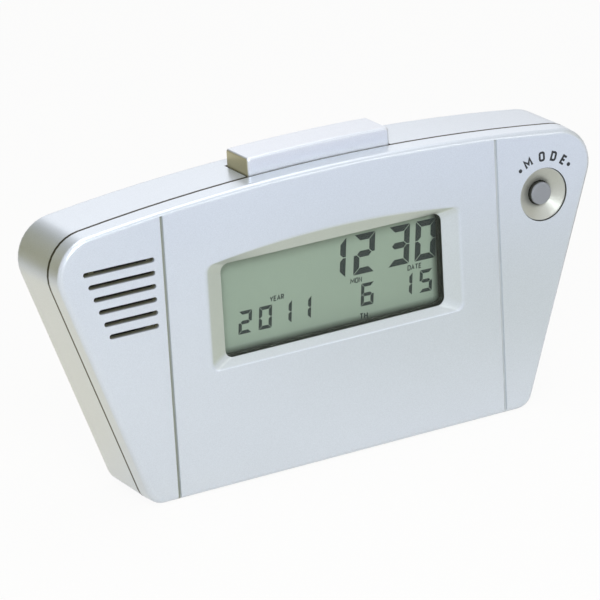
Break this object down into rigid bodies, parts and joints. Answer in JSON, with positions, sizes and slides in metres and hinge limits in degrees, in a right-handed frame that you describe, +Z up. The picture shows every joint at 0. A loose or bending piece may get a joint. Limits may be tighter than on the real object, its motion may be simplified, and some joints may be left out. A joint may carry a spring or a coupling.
{
  "type": "countdown desk clock",
  "caption": "Slim free-standing desk clock: silver plastic case with arched top and leaning sides, bevelled LCD window, speaker slots, dished push button and snooze bar on top.",
  "frame": {"origin": "on the desk, under the middle of the case's box", "axes": "+X to the right as the display is read, +Y from the display into the case, +Z up"},
  "size_m": [0.144, 0.022, 0.0773],
  "materials": {
    "silver_plastic": "satin silver paint",
    "dish_plastic": "bright silver",
    "grey_plastic": "satin",
    "dome_rubber": "matte",
    "clear_plastic": "clear",
    "black_foam": "matte",
    "display_glass": "grey-green reflective display",
    "white_plastic": "satin",
    "board_laminate": "satin",
    "black_resin": "gloss",
    "bright_steel": "plated",
    "cone_film": "matte",
    "magnet": "plated",
    "battery_can": "plain jacket",
    "wire_insulation": "satin"
  },
  "bodies": {
    "case": {"front_shell": "silver_plastic", "back_cover": "silver_plastic", "mode_surround": "dish_plastic", "mode_dome": "dome_rubber", "snooze_dome": "dome_rubber", "set_dome": "dome_rubber", "up_dome": "dome_rubber", "down_dome": "dome_rubber", "contact_strip": "dome_rubber", "display_lens": "clear_plastic", "lcd_gasket": "black_foam", "lcd_cell": "display_glass", "lcd_holder": "white_plastic", "main_board": "board_laminate", "snooze_board": "board_laminate", "clock_chip": "black_resin", "quartz_crystal": "bright_steel", "speaker_basket": "bright_steel", "contact_springs": "bright_steel", "contact_plates": "bright_steel", "case_screws": "bright_steel", "board_screws": "bright_steel", "speaker_cone": "cone_film", "speaker_magnet": "magnet", "upper_battery": "battery_can", "lower_battery": "battery_can", "speaker_leads": "wire_insulation", "battery_leads": "wire_insulation", "snooze_leads": "wire_insulation"},
    "mode_button": {"mode_button": "grey_plastic"},
    "snooze_bar": {"snooze_bar": "silver_plastic"},
    "set_button": {"set_button": "grey_plastic"},
    "up_button": {"up_button": "grey_plastic"},
    "down_button": {"down_button": "grey_plastic"},
    "battery_door": {"battery_door": "silver_plastic"}
  },
  "joints": [
    {"name": "mode_press", "type": "slide", "parent": "case", "child": "mode_button", "axis": [0, 1, 0], "range_m": [0, 0.001], "stiffness_N_per_m": 800, "springref_m": -0.0004, "deforming": ["mode_dome"]},
    {"name": "snooze_press", "type": "slide", "parent": "case", "child": "snooze_bar", "axis": [0, 0, -1], "range_m": [0, 0.0015], "stiffness_N_per_m": 800, "springref_m": -0.0004, "deforming": ["snooze_dome"]},
    {"name": "set_press", "type": "slide", "parent": "case", "child": "set_button", "axis": [0, -1, 0], "range_m": [0, 0.001], "stiffness_N_per_m": 800, "springref_m": -0.0004, "deforming": ["set_dome"]},
    {"name": "up_press", "type": "slide", "parent": "case", "child": "up_button", "axis": [0, -1, 0], "range_m": [0, 0.001], "stiffness_N_per_m": 800, "springref_m": -0.0004, "deforming": ["up_dome"]},
    {"name": "down_press", "type": "slide", "parent": "case", "child": "down_button", "axis": [0, -1, 0], "range_m": [0, 0.001], "stiffness_N_per_m": 800, "springref_m": -0.0004, "deforming": ["down_dome"]},
    {"name": "battery_door_hinge", "type": "hinge", "parent": "case", "child": "battery_door", "pos_m": [0, 0.01022, 0.00498], "axis": [-1, 0, 0], "range_deg": [0, 80]}
  ]
}
